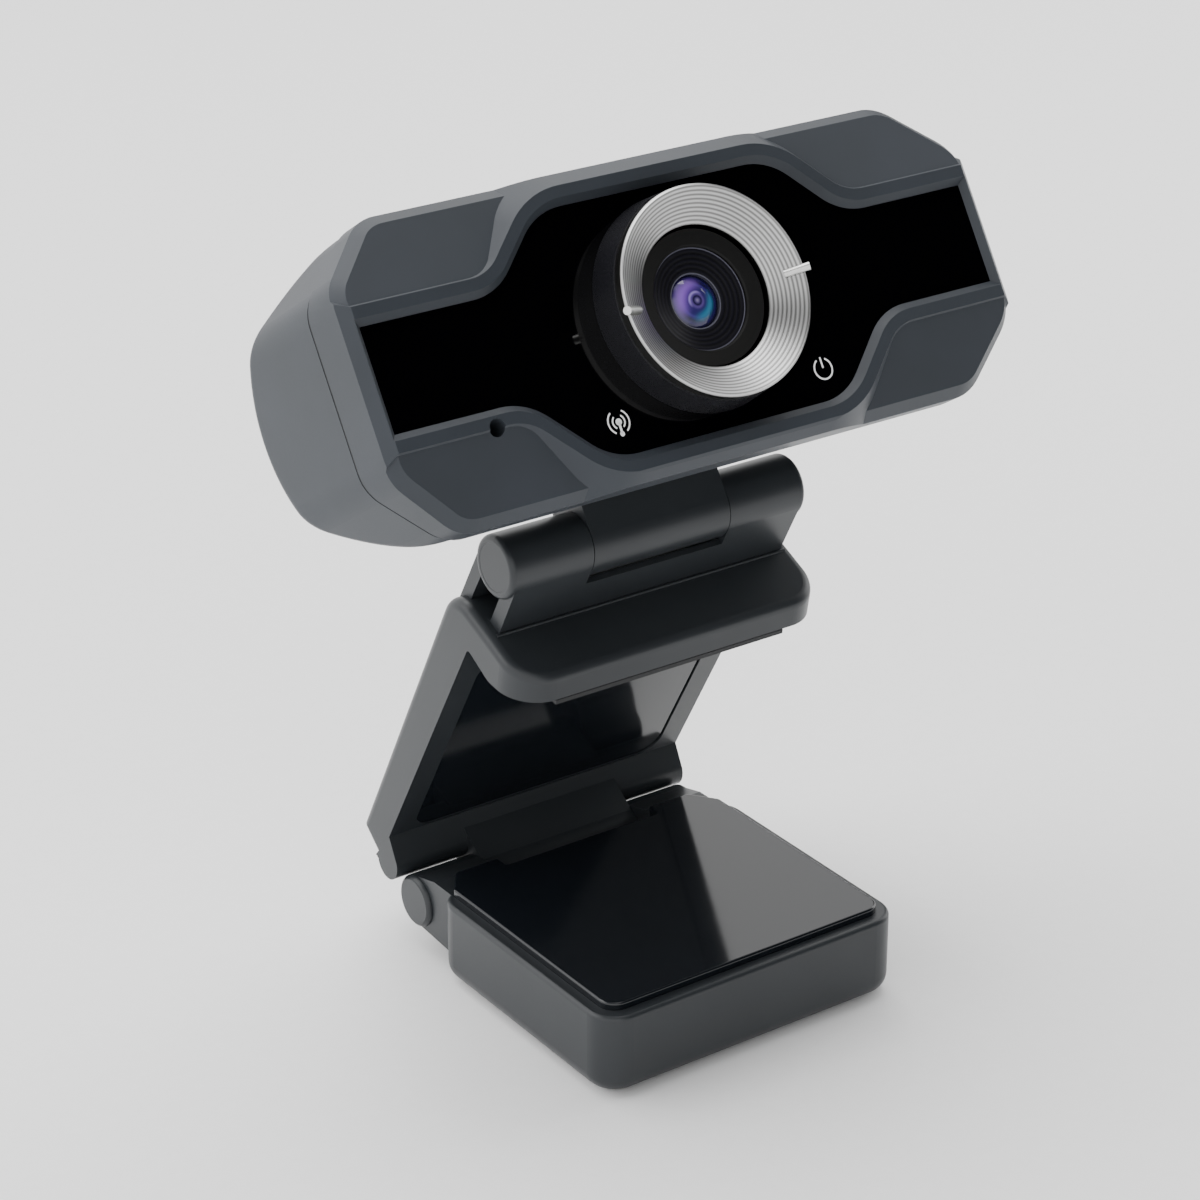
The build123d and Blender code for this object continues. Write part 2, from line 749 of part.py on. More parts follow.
with BuildPart() as rear_shell:
    extrude(shell_profile(HEAD_SIDE), amount=head_width / 2, both=True)
    add(prism(head_outline(HEAD.offset(shell_start + 1), shell_step / 2), -shell_depth - 2), mode=Mode.INTERSECT)
    end_edges = rear_shell.edges().filter_by(
        lambda e: abs(e.center().X) > head_width / 2 - 6 and HEAD.to_local_coords(e.center()).Z < shell_start - 1
    )
    fillet(end_edges, radius=1.4)
    add(shell_room.part, mode=Mode.SUBTRACT)
    # spigot that locates the bezel
    extrude(head_outline(HEAD.offset(shell_start), wall + seat), amount=1.6)
    extrude(head_outline(HEAD.offset(shell_start), wall + 1.0), amount=1.6, mode=Mode.SUBTRACT)
    extrude(drill(HEAD.offset(deck_back), head_screw_spots, boss_radius), amount=shell_start - deck_back)
    extrude(
        drill(HEAD.offset(deck_back), head_screw_spots, screw_radius + seat),
        amount=-10.5,
        mode=Mode.SUBTRACT,
    )
    extrude(
        drill(HEAD.offset(board_back), board_screw_spots, screw_radius + seat),
        amount=-4.0,
        mode=Mode.SUBTRACT,
    )
    extrude(drill(NECK_SCREWS, neck_screw_spots, screw_radius + seat), amount=12, mode=Mode.SUBTRACT)
    # the cord's gland
    extrude(disc(HEAD.offset(gland_floor), gland_flange + seat), amount=-4, mode=Mode.SUBTRACT)
    extrude(disc(HEAD.offset(gland_floor), gland_radius + seat), amount=3, mode=Mode.SUBTRACT)
rear_shell.part.label = "rear_shell"
export_step(rear_shell.part, "parts/rear_shell.step")

with BuildPart() as seam_gasket:
    extrude(head_outline(HEAD.offset(bezel_back - seat), seal_sunk), amount=2 * seat - seam)
    extrude(
        head_outline(HEAD.offset(bezel_back), wall - seat),
        amount=-seam,
        mode=Mode.SUBTRACT,
    )
seam_gasket.part.label = "seam_gasket"
export_step(seam_gasket.part, "parts/seam_gasket.step")

with BuildPart() as cable_grommet:
    extrude(disc(HEAD.offset(gland_floor), gland_flange), amount=-gland_rim)
    fillet(cable_grommet.edges(), radius=gland_rim * 0.36)
    extrude(disc(HEAD.offset(gland_floor), gland_radius), amount=gland_groove)
    extrude(disc(HEAD.offset(gland_floor + gland_groove - 0.05), gland_flange - 0.6), amount=gland_rim + 0.1)
    extrude(disc(HEAD.offset(gland_floor - 2), cable_radius), amount=6, mode=Mode.SUBTRACT)
cable_grommet.part.label = "cable_grommet"
export_step(cable_grommet.part, "parts/cable_grommet.step")

# wedges that slope the face back above and below the raised band round the panel
slope_start = panel_waist + 1.4
slope_fall = 3.1
band_margin = 2.2
rim_bevel = 1.3

def band_outline(height, spread):
    """The raised band round the panel, at this height above the panel."""
    return panel_outline(HEAD.offset(height), band_margin + spread)


with BuildPart() as raised_band:
    extrude(head_outline(HEAD.offset(bezel_back)), amount=face_front - bezel_back)
    band_rim = raised_band.faces().sort_by(LENS_AXIS)[-1].edges()
    chamfer(band_rim, length=rim_bevel)
    with BuildPart(mode=Mode.PRIVATE) as band_room:
        loft([band_outline(face_front + 0.5, -0.35), band_outline(bezel_back, 5.4)])
    add(band_room.part, mode=Mode.INTERSECT)


def is_slope_rim(edge):
    """Edges between the face's sloping parts and the head's sides."""
    middle = HEAD.to_local_coords(edge.position_at(0.5))
    ends = [HEAD.to_local_coords(edge.position_at(t)) for t in (0, 1)]
    level = abs(ends[0].Z - ends[1].Z) < 3.5
    return level and middle.Z > bezel_back + 1 and abs(middle.Y) > slope_start + 0.1


def is_end_rim(edge):
    """The two straight edges between the slopes, at the face's ends."""
    middle = HEAD.to_local_coords(edge.position_at(0.5))
    return abs(middle.X) > head_width / 2 - 0.1 and abs(middle.Y) < 0.5 and abs(middle.Z - face_front) < 0.1


with BuildPart() as front_bezel:
    extrude(head_outline(HEAD.offset(bezel_back)), amount=face_front - bezel_back)
    with BuildSketch(HEAD_SIDE):
        with BuildLine():
            Polyline(
                (face_front, slope_start),
                (face_front - slope_fall, head_height / 2),
                (face_front + 1, head_height / 2 + 1),
                (face_front + 1, slope_start),
                close=True,
            )
        make_face()
        mirror(about=Plane.XZ)
    extrude(amount=head_width / 2 + 1, both=True, mode=Mode.SUBTRACT)
    slope_rim = front_bezel.edges().filter_by(is_slope_rim)
    chamfer(slope_rim, length=rim_bevel)
    end_rim = front_bezel.edges().filter_by(is_end_rim)
    chamfer(end_rim, length=rim_bevel)
    add(raised_band.part)
    # panel pocket with a sloping border
    loft(
        [
            panel_outline(HEAD),
            panel_outline(HEAD.offset(face_front + 0.1), 0.9),
        ],
        mode=Mode.SUBTRACT,
    )
    extrude(panel_outline(HEAD.offset(-panel_thickness)), amount=panel_thickness, mode=Mode.SUBTRACT)
    extrude(
        head_outline(HEAD.offset(bezel_back), wall),
        amount=deck_back - bezel_back,
        mode=Mode.SUBTRACT,
    )
    # bed of the microphone
    extrude(drill(HEAD.offset(deck_back), [(-mic_x, -mic_drop)], 4.0), amount=-2.6)
    extrude(drill(HEAD.offset(deck_back), [(-mic_x, -mic_drop)], 3.0 + seat), amount=-3, mode=Mode.SUBTRACT)
    extrude(drill(HEAD.offset(deck_back), [(-mic_x, -mic_drop)], 1.0), amount=6, mode=Mode.SUBTRACT)
    extrude(disc(HEAD.offset(deck_back), turret_base_radius + seat), amount=6, mode=Mode.SUBTRACT)
    extrude(
        drill(HEAD.offset(-panel_thickness), head_screw_spots, screw_head_radius + seat),
        amount=-screw_head_height - 0.05,
        mode=Mode.SUBTRACT,
    )
    extrude(drill(HEAD, head_screw_spots, screw_radius + seat), amount=-6, mode=Mode.SUBTRACT)
    extrude(drill(HEAD, icon_spots, pipe_radius + seat), amount=-6, mode=Mode.SUBTRACT)
front_bezel.part.label = "front_bezel"
export_step(front_bezel.part, "parts/front_bezel.step")

with BuildPart() as front_panel:
    extrude(panel_outline(HEAD.offset(-panel_thickness), -seat), amount=panel_thickness)
    extrude(
        disc(HEAD.offset(-panel_thickness), turret_base_radius + seat),
        amount=panel_thickness,
        mode=Mode.SUBTRACT,
    )
front_panel.part.label = "front_panel"
export_step(front_panel.part, "parts/front_panel.step")

HEAD_SCREWS = HEAD.offset(-panel_thickness - screw_head_height - 0.05)
HEAD_SCREWS_IN = Plane(origin=HEAD_SCREWS.origin, x_dir=(1, 0, 0), z_dir=-HEAD.z_dir)
BOARD_SCREWS_IN = Plane(
    origin=HEAD.offset(board_front).origin,
    x_dir=(1, 0, 0),
    z_dir=-HEAD.z_dir,
)
screw_group("head_screws", HEAD_SCREWS_IN, head_screw_spots, 9.6)
screw_group("board_screws", BOARD_SCREWS_IN, board_screw_spots, 4.6)
screw_group("lens_holder_screws", HEAD.offset(board_back), holder_screw_spots, 2.8)

for side_name, spot in zip(("status_light_pipe", "power_light_pipe"), icon_spots):
    with BuildPart() as light_pipe:
        extrude(
            drill(HEAD.offset(-panel_thickness - seat), [spot], pipe_radius),
            amount=board_front + 0.9 + panel_thickness,
        )
        extrude(drill(HEAD.offset(deck_back - seat), [spot], pipe_radius + 0.7), amount=-0.8)
    light_pipe.part.label = side_name
    export_step(light_pipe.part, "parts/" + side_name + ".step")

with BuildPart() as mic_gasket:
    with BuildSketch(HEAD.offset(deck_back)):
        with Locations((-mic_x, -mic_drop)):
            Circle(mic_radius)
            Circle(mic_port, mode=Mode.SUBTRACT)
    extrude(amount=-mic_gasket_thickness)
mic_gasket.part.label = "mic_gasket"
export_step(mic_gasket.part, "parts/mic_gasket.step")

with BuildPart() as microphone:
    mic_front = deck_back - mic_gasket_thickness
    lead_spots = [(side * mic_lead - mic_x, -mic_drop) for side in (-1, 1)]
    extrude(drill(HEAD.offset(mic_front), [(-mic_x, -mic_drop)], mic_radius), amount=-mic_depth)
    extrude(drill(HEAD.offset(mic_front - mic_depth), lead_spots, 0.3), amount=-1)
microphone.part.label = "microphone"
export_step(microphone.part, "parts/microphone.step")

with BuildPart() as main_board:
    with BuildSketch(HEAD.offset(board_back)):
        Rectangle(board_width, board_height)
        with Locations(*board_screw_spots, *holder_screw_spots):
            Circle(screw_radius + seat, mode=Mode.SUBTRACT)
    extrude(amount=board_thickness)
main_board.part.label = "main_board"
export_step(main_board.part, "parts/main_board.step")


def chip(label, x, y, width, depth, height, plane=HEAD.offset(board_front)):
    """A flat electronic part standing on the board."""
    with BuildPart() as body:
        with BuildSketch(plane):
            with Locations((x, y)):
                Rectangle(width, depth)
        extrude(amount=height)
    body.part.label = label
    export_step(body.part, "parts/" + label + ".step")


# across and up the board, then width, depth and height
CHIPS = {
    "image_sensor": (0, 0, 7.0, 6.0, 1.2),
    "image_processor": (17.5, 1.0, 9.0, 9.0, 1.1),
    "flash_memory": (-15.5, 3.5, 5.0, 4.0, 0.9),
    "clock_crystal": (-15.5, -4.0, 4.6, 2.0, 1.2),
}
for label, sizes in CHIPS.items():
    chip(label, *sizes)
BOARD_REAR = Plane(origin=HEAD.offset(board_back).origin, x_dir=(1, 0, 0), z_dir=-HEAD.z_dir)
chip("board_connector", 16.0, 0.0, 8.0, 4.0, 3.6, BOARD_REAR)

with BuildPart() as indicator_leds:
    with BuildSketch(HEAD.offset(board_front)):
        with Locations(*icon_spots):
            Rectangle(1.6, 0.8)
    extrude(amount=0.7)
indicator_leds.part.label = "indicator_leds"
export_step(indicator_leds.part, "parts/indicator_leds.step")

# ======================================================================== lens group
AXIAL = Plane(origin=(0, head_y, head_z), x_dir=(1, 0, 0), z_dir=-HEAD.y_dir)
dish_slope = (ring_front - ring_dish) / (ring_radius - 0.25 - ring_bore)
skirt_outer = turret_bore - 0.1
ring_thickness = 1.25


def turned(label, points):
    """A piece turned about the lens axis from its half section, given as radius and height."""
    with BuildPart() as body:
        with BuildSketch(AXIAL):
            with BuildLine():
                Polyline(*points, close=True)
            make_face()
        revolve(axis=LENS_AXIS)
    body.part.label = label
    return body.part


def dish_height(radius):
    """Height of the focus ring's dished face."""
    return ring_dish + (radius - ring_bore) * dish_slope


turret_flange = 14.5
clip_top = ring_skirt_end + gap / 2
lens_turret = turned("lens_turret", [
    (turret_base_radius, 0),
    (turret_top_radius, turret_height),
    (turret_top_radius - 0.5, dish_height(turret_top_radius - 0.5) - ring_thickness - 0.1),
    (turret_bore, dish_height(turret_bore) - ring_thickness - 0.1),
    (turret_bore, clip_top),
    (turret_bore + 1.1, clip_top),
    (turret_bore + 1.1, deck_back - 2.0),
    (turret_flange, deck_back - 2.0),
    (turret_flange, deck_back - seat),
    (turret_base_radius, deck_back - seat),
])
export_step(lens_turret, "parts/lens_turret.step")

bar_radius = 0.5
bar_inner = 10.3
bar_length = 3.1
key_low = -2.3
key_height = 1.6
bar_run_x = math.cos(math.atan(dish_slope))
bar_run_z = math.sin(math.atan(dish_slope))
BAR_ENDS = [
    Plane(
        origin=HEAD.from_local_coords((turn * bar_inner, 0, dish_height(bar_inner) + 0.1)),
        x_dir=HEAD.y_dir,
        z_dir=HEAD.x_dir * turn * bar_run_x + HEAD.z_dir * bar_run_z,
    )
    for turn in (1, -1)
]

with BuildPart() as focus_ring:
    add(turned("focus_ring", [
        (ring_radius, turret_height + 0.12),
        (ring_radius, ring_front - 0.25),
        (ring_radius - 0.25, ring_front),
        (ring_bore, ring_dish),
        (ring_bore, ring_skirt_end),
        (skirt_outer, ring_skirt_end),
        (skirt_outer, dish_height(skirt_outer) - ring_thickness),
        (ring_radius - 0.75, turret_height + 0.12),
    ]))
    # keys that turn the lens barrel
    with BuildSketch(HEAD.offset(key_low)):
        with Locations((ring_bore - 0.2, 0), (0.2 - ring_bore, 0)):
            Rectangle(1.2, 1.4)
    extrude(amount=key_height)
    # seats of the two index bars
    for plane in BAR_ENDS:
        extrude(disc(plane, bar_radius + seat), amount=bar_length, mode=Mode.SUBTRACT)
focus_ring.part.label = "focus_ring"
export_step(focus_ring.part, "parts/focus_ring.step")

with BuildPart() as focus_ring_bars:
    for plane in BAR_ENDS:
        extrude(disc(plane, bar_radius), amount=bar_length)
focus_ring_bars.part.label = "focus_ring_bars"
export_step(focus_ring_bars.part, "parts/focus_ring_bars.step")

focus_ring_clip = turned("focus_ring_clip", [
    (ring_bore + 0.1, ring_skirt_end),
    (turret_bore + 0.9, ring_skirt_end),
    (turret_bore + 0.9, ring_skirt_end - 0.5),
    (ring_bore + 0.1, ring_skirt_end - 0.5),
])
export_step(focus_ring_clip, "parts/focus_ring_clip.step")

holder_top = -3.4
holder_step = -14.0
hood_base = -2.6
lens_top = 0.3
glass_radius = 5.2
retainer_radius = 6.15
lens_window = 3.2

with BuildPart() as lens_holder:
    with BuildSketch(HEAD.offset(board_front)):
        Rectangle(17, 17)
    extrude(amount=2)
    extrude(disc(HEAD.offset(board_front), holder_radius), amount=holder_top - board_front)
    extrude(disc(HEAD.offset(holder_step), barrel_radius + running), amount=20, mode=Mode.SUBTRACT)
    with BuildSketch(HEAD.offset(board_front)):
        Rectangle(9, 9)
    extrude(amount=holder_step - board_front, mode=Mode.SUBTRACT)
    extrude(drill(HEAD.offset(board_front), holder_screw_spots, screw_radius + seat), amount=1.6, mode=Mode.SUBTRACT)
lens_holder.part.label = "lens_holder"
export_step(lens_holder.part, "parts/lens_holder.step")

with BuildPart() as infrared_filter:
    with BuildSketch(HEAD.offset(holder_step - 0.9)):
        Rectangle(8.96, 8.96)
    extrude(amount=0.5)
infrared_filter.part.label = "infrared_filter"
export_step(infrared_filter.part, "parts/infrared_filter.step")

with BuildPart() as lens_barrel:
    add(turned("lens_barrel", [
        (barrel_radius, holder_step + 1.0),
        (barrel_radius, hood_base),
        (barrel_hood, hood_base),
        (barrel_hood, 2.5),
        (retainer_radius + 0.2, 2.1),
        (retainer_radius, 1.9),
        (retainer_radius, lens_top),
        (glass_radius, lens_top),
        (glass_radius, -4.0),
        (3.6, -4.0),
        (3.6, holder_step + 1.0),
    ]))
    # slots for the focus ring's keys
    with BuildSketch(HEAD.offset(hood_base)):
        with Locations((ring_bore - 0.4, 0), (0.4 - ring_bore, 0)):
            Rectangle(1.4, 1.6)
    extrude(amount=key_height + 0.7, mode=Mode.SUBTRACT)
lens_barrel.part.label = "lens_barrel"
export_step(lens_barrel.part, "parts/lens_barrel.step")

lens_seat = glass_radius - seat
lens_ring = turned("lens_retaining_ring", [
    (lens_window, lens_top + seat),
    (retainer_radius - seat, lens_top + seat),
    (retainer_radius - seat, 1.6),
    (lens_window, 0.75),
])
export_step(lens_ring, "parts/lens_retaining_ring.step")

lens_spacer = turned("lens_spacer", [
    (4.3, -4.0),
    (lens_seat, -4.0),
    (lens_seat, -2.6),
    (4.3, -2.6),
])
export_step(lens_spacer, "parts/lens_spacer.step")


def ball_cap(height, sagitta, radius):
    """A shallow spherical cap that rises from this height over this radius."""
    ball = (radius**2 + sagitta**2) / (2 * sagitta)
    with BuildPart(HEAD.offset(height + sagitta - ball)) as sphere:
        Sphere(ball)
    return sphere.part & prism(disc(HEAD.offset(height), radius), 2 * sagitta)


with BuildPart() as front_lens:
    extrude(disc(HEAD.offset(lens_top - 2.9), lens_seat), amount=2.9)
    add(ball_cap(lens_top, 0.85, lens_window - 0.1))
    add(ball_cap(-2.6, 0.7, 4.0), mode=Mode.SUBTRACT)
front_lens.part.label = "front_lens"
export_step(front_lens.part, "parts/front_lens.step")

with BuildPart() as rear_lens:
    extrude(disc(HEAD.offset(-11.4), 3.6 - seat), amount=1.0)
    add(ball_cap(-10.4, 0.9, 3.4))
rear_lens.part.label = "rear_lens"
export_step(rear_lens.part, "parts/rear_lens.step")
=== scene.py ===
import json
from math import cos, pi, radians, sin

import bmesh
import bpy
from mathutils import Matrix, Vector


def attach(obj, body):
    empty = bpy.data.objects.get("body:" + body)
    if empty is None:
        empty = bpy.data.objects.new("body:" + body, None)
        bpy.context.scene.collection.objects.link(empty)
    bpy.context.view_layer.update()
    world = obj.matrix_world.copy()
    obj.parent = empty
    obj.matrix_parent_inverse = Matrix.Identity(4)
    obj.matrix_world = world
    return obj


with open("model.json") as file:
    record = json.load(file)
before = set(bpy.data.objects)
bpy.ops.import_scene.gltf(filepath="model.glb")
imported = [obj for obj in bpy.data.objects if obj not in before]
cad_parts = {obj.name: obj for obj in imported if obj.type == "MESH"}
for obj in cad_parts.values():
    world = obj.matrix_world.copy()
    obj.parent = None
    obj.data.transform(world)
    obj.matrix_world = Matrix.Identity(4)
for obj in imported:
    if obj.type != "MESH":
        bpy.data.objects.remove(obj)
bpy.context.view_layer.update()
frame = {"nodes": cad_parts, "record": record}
nodes = frame["nodes"]
mm = 0.001
mottle_mm = 14.0  # flow marks in moulded plastic
smudge_mm = 6.0  # uneven gloss of polished plastic

# The head's own frame: its middle, and its turn about the tilt axis.
# In it X runs along the head, Y up its face and Z out along the lens.
focus = next(j for j in frame["record"]["behaviour"]["joints"] if j["name"] == "focus_turn")
head_centre = Vector(focus["pos_m"])
face_turn = radians(57.0)
head_place = Matrix.Translation(head_centre) @ Matrix.Rotation(face_turn, 4, "X")


def linear(code):
    """An sRGB hex colour as linear red, green, blue and alpha."""
    parts = [int(code[i : i + 2], 16) / 255 for i in (1, 3, 5)]
    return [p / 12.92 if p <= 0.04045 else ((p + 0.055) / 1.055) ** 2.4 for p in parts] + [1.0]


def add(tree, kind, inputs=None, **settings):
    """A new node with its settings, and its inputs set or linked."""
    node = tree.nodes.new(kind)
    for name, value in settings.items():
        setattr(node, name, value)
    for socket, value in (inputs or {}).items():
        if isinstance(value, bpy.types.NodeSocket):
            tree.links.new(value, node.inputs[socket])
        else:
            node.inputs[socket].default_value = value
    return node


def finish_named(name):
    """An empty material with its tree, shader and object coordinates."""
    material = bpy.data.materials.new(name)
    material.use_nodes = True
    tree = material.node_tree
    tree.nodes.clear()
    shader = add(tree, "ShaderNodeBsdfPrincipled")
    add(tree, "ShaderNodeOutputMaterial", {"Surface": shader.outputs["BSDF"]})
    place = add(tree, "ShaderNodeTexCoord").outputs["Object"]
    return material, tree, shader, place


def wear(node, *materials):
    """Gives a CAD node its materials."""
    mesh = nodes[node].data
    mesh.materials.clear()
    for material in materials:
        mesh.materials.append(material)


def moulded_plastic(name, dark, light, roughness, grain_mm, depth_mm, gleam=0.5):
    """Moulded plastic or rubber from a spark-eroded tool: a fine even grain, and a faint
    mottle where the resin flowed. A higher gleam reflects more."""
    material, tree, shader, place = finish_named(name)
    cloud = add(tree, "ShaderNodeTexNoise", {"Vector": place, "Scale": 1 / (mottle_mm * mm), "Detail": 3.0})
    tone = add(tree, "ShaderNodeValToRGB", {"Fac": cloud.outputs["Fac"]})
    tone.color_ramp.elements[0].position = 0.3
    tone.color_ramp.elements[0].color = linear(dark)
    tone.color_ramp.elements[1].position = 0.7
    tone.color_ramp.elements[1].color = linear(light)
    grain = add(tree, "ShaderNodeTexNoise", {"Vector": place, "Scale": 1 / (grain_mm * mm), "Detail": 2.0})
    sheen = add(
        tree,
        "ShaderNodeMapRange",
        {"Value": grain.outputs["Fac"], "To Min": roughness - 0.05, "To Max": roughness + 0.05},
    )
    bump = add(
        tree,
        "ShaderNodeBump",
        {"Height": grain.outputs["Fac"], "Distance": depth_mm * mm, "Strength": 1.0},
    )
    shader.inputs["IOR"].default_value = 1.5
    shader.inputs["Specular IOR Level"].default_value = gleam
    tree.links.new(tone.outputs["Color"], shader.inputs["Base Color"])
    tree.links.new(sheen.outputs["Result"], shader.inputs["Roughness"])
    tree.links.new(bump.outputs["Normal"], shader.inputs["Normal"])
    return material


# Dark grey ABS of the head's two shells: fine satin grain, a soft wide highlight.
housing_abs = moulded_plastic("satin_grey_abs", "#303439", "#34383e", 0.42, 0.16, 0.0025, 0.25)
# Black-grey ABS of the stand: a finer grain, so a tighter highlight.
stand_abs = moulded_plastic("satin_black_abs", "#24272a", "#282b2e", 0.36, 0.14, 0.002, 0.38)
# Black ABS for covers that stay out of sight: plain tool finish.
inner_abs = moulded_plastic("plain_black_abs", "#161617", "#19191b", 0.45, 0.2, 0.003)
# Satin black of the drum round the ring: a finer tool finish than the housing.
turret_satin = moulded_plastic("satin_black_acrylic", "#151519", "#19191d", 0.28, 0.12, 0.001)
# Black polyacetal of the lens barrel: matt, to keep stray light down.
barrel_black = moulded_plastic("matt_black_acetal", "#0c0c0c", "#0f0f0e", 0.55, 0.12, 0.002, 0.2)
# Silicone of the grommet, lip strip and sole: dull, faintly dusty.
soft_rubber = moulded_plastic("matt_black_silicone", "#151617", "#1b1c1e", 0.62, 0.25, 0.004)


def polished_plastic(name, colour, roughness, wave_mm, depth_mm):
    """Polished plastic or rubber: almost a mirror, with a very slight wave from the tool."""
    material, tree, shader, place = finish_named(name)
    wave = add(tree, "ShaderNodeTexNoise", {"Vector": place, "Scale": 1 / (wave_mm * mm), "Detail": 1.0})
    smudge = add(tree, "ShaderNodeTexNoise", {"Vector": place, "Scale": 1 / (smudge_mm * mm), "Detail": 4.0})
    gloss = add(
        tree,
        "ShaderNodeMapRange",
        {"Value": smudge.outputs["Fac"], "To Min": roughness * 0.8, "To Max": roughness * 1.3},
    )
    bump = add(tree, "ShaderNodeBump", {"Height": wave.outputs["Fac"], "Distance": depth_mm * mm})
    base = add(tree, "ShaderNodeValToRGB", {"Fac": smudge.outputs["Fac"]})
    base.color_ramp.elements[0].color = linear(colour)
    base.color_ramp.elements[1].color = [c * 1.3 for c in linear(colour)[:3]] + [1.0]
    shader.inputs["IOR"].default_value = 1.49
    tree.links.new(base.outputs["Color"], shader.inputs["Base Color"])
    tree.links.new(gloss.outputs["Result"], shader.inputs["Roughness"])
    tree.links.new(bump.outputs["Normal"], shader.inputs["Normal"])
    return material


# Piano-black acrylic of the front panel: a mirror over full black.
piano_black = polished_plastic("piano_black_acrylic", "#020203", 0.06, 9.0, 0.002)
# Glossy silicone gel of the grip pads: a slightly softer mirror, blue-black.
grip_gel = polished_plastic("glossy_black_silicone", "#101317", 0.09, 7.0, 0.004)


def lens_axis_place(tree, place):
    """Object coordinates moved into the head's own frame, so rings run round the lens."""
    return add(
        tree,
        "ShaderNodeMapping",
        {"Vector": place, "Location": head_centre, "Rotation": (face_turn, 0.0, 0.0)},
        vector_type="TEXTURE",
    ).outputs["Vector"]


def turning_marks(tree, centred, pitch_mm):
    """Fine rings about the lens axis, as a lathe tool leaves them."""
    # One ring of a Wave texture is 2 pi / 20 of its own unit across.
    return add(
        tree,
        "ShaderNodeTexWave",
        {"Vector": centred, "Scale": 2 * pi / 20 / (pitch_mm * mm)},
        wave_type="RINGS",
        rings_direction="Z",
    ).outputs["Fac"]


def turned_aluminium():
    """Clear-anodised aluminium, faced on a lathe: concentric tool marks that smear
    each highlight into a spoke."""
    material, tree, shader, place = finish_named("turned_clear_anodised_aluminium")
    centred = lens_axis_place(tree, place)
    coarse = turning_marks(tree, centred, 0.42)
    fine = turning_marks(tree, centred, 0.13)
    both = add(tree, "ShaderNodeMix", {"Factor": 0.35, "A": coarse, "B": fine}, data_type="FLOAT")
    tone = add(tree, "ShaderNodeValToRGB", {"Fac": coarse})
    tone.color_ramp.elements[0].color = linear("#6f6f6e")
    tone.color_ramp.elements[1].color = linear("#bababa")
    bump = add(tree, "ShaderNodeBump", {"Height": both.outputs["Result"], "Distance": 0.01 * mm})
    from_axis = add(
        tree, "ShaderNodeVectorMath", {0: place, 1: head_centre}, operation="SUBTRACT"
    )
    round_axis = add(
        tree,
        "ShaderNodeVectorMath",
        {0: (0.0, -sin(face_turn), cos(face_turn)), 1: from_axis.outputs["Vector"]},
        operation="CROSS_PRODUCT",
    )
    shader.inputs["Metallic"].default_value = 1.0
    shader.inputs["Roughness"].default_value = 0.3
    shader.inputs["Anisotropic"].default_value = 0.6
    tree.links.new(round_axis.outputs["Vector"], shader.inputs["Tangent"])
    tree.links.new(tone.outputs["Color"], shader.inputs["Base Color"])
    tree.links.new(bump.outputs["Normal"], shader.inputs["Normal"])
    return material


ring_metal = turned_aluminium()


def plain_metal(name, colour, roughness, grain_mm):
    """Plated or drawn metal with a fine mottled surface."""
    material, tree, shader, place = finish_named(name)
    grain = add(tree, "ShaderNodeTexNoise", {"Vector": place, "Scale": 1 / (grain_mm * mm), "Detail": 3.0})
    tone = add(tree, "ShaderNodeValToRGB", {"Fac": grain.outputs["Fac"]})
    tone.color_ramp.elements[0].color = [c * 0.85 for c in linear(colour)[:3]] + [1.0]
    tone.color_ramp.elements[1].color = linear(colour)
    rough = add(
        tree,
        "ShaderNodeMapRange",
        {"Value": grain.outputs["Fac"], "To Min": roughness * 0.8, "To Max": roughness * 1.2},
    )
    shader.inputs["Metallic"].default_value = 1.0
    tree.links.new(tone.outputs["Color"], shader.inputs["Base Color"])
    tree.links.new(rough.outputs["Result"], shader.inputs["Roughness"])
    return material


# Zinc plate on small steel parts: cool, slightly cloudy.
zinc_steel = plain_metal("zinc_plated_steel", "#c4c7ca", 0.3, 0.4)
# Free-cutting brass, bright from the lathe.
turned_brass = plain_metal("turned_brass", "#d8b566", 0.25, 0.5)
# Polished aluminium of the two index bars.
bright_bar = plain_metal("polished_aluminium", "#dcdcda", 0.36, 0.3)
# Solder mask over glass-fibre laminate.
solder_mask = polished_plastic("green_solder_mask", "#0e3d22", 0.3, 1.5, 0.01)
# Epoxy of the chips.
chip_epoxy = moulded_plastic("black_moulded_epoxy", "#18181a", "#1d1d1f", 0.6, 0.1, 0.004)
# Nylon of the board connector.
white_nylon = moulded_plastic("natural_nylon", "#cfcabb", "#d8d3c5", 0.45, 0.3, 0.003)
# White ink of the printed icons.
white_ink = moulded_plastic("white_pad_print_ink", "#f4f5f5", "#fbfbfb", 0.5, 0.1, 0.001)


def clear_acrylic():
    """Moulded clear acrylic of the light pipes and LED lenses, lightly frosted."""
    material, tree, shader, place = finish_named("frosted_clear_acrylic")
    frost = add(tree, "ShaderNodeTexNoise", {"Vector": place, "Scale": 1 / (0.3 * mm), "Detail": 2.0})
    rough = add(tree, "ShaderNodeMapRange", {"Value": frost.outputs["Fac"], "To Min": 0.2, "To Max": 0.35})
    shader.inputs["Base Color"].default_value = linear("#eef1f3")
    shader.inputs["IOR"].default_value = 1.49
    shader.inputs["Transmission Weight"].default_value = 0.8
    tree.links.new(rough.outputs["Result"], shader.inputs["Roughness"])
    return material


pipe_acrylic = clear_acrylic()


def ring_radius_of(tree, centred):
    """Distance from the lens axis, in millimetres."""
    flat = add(tree, "ShaderNodeVectorMath", {0: centred, 1: (1.0, 1.0, 0.0)}, operation="MULTIPLY")
    reach = add(tree, "ShaderNodeVectorMath", {0: flat.outputs["Vector"]}, operation="LENGTH")
    return add(
        tree, "ShaderNodeMath", {0: reach.outputs["Value"], 1: 1000.0}, operation="MULTIPLY"
    ).outputs["Value"]


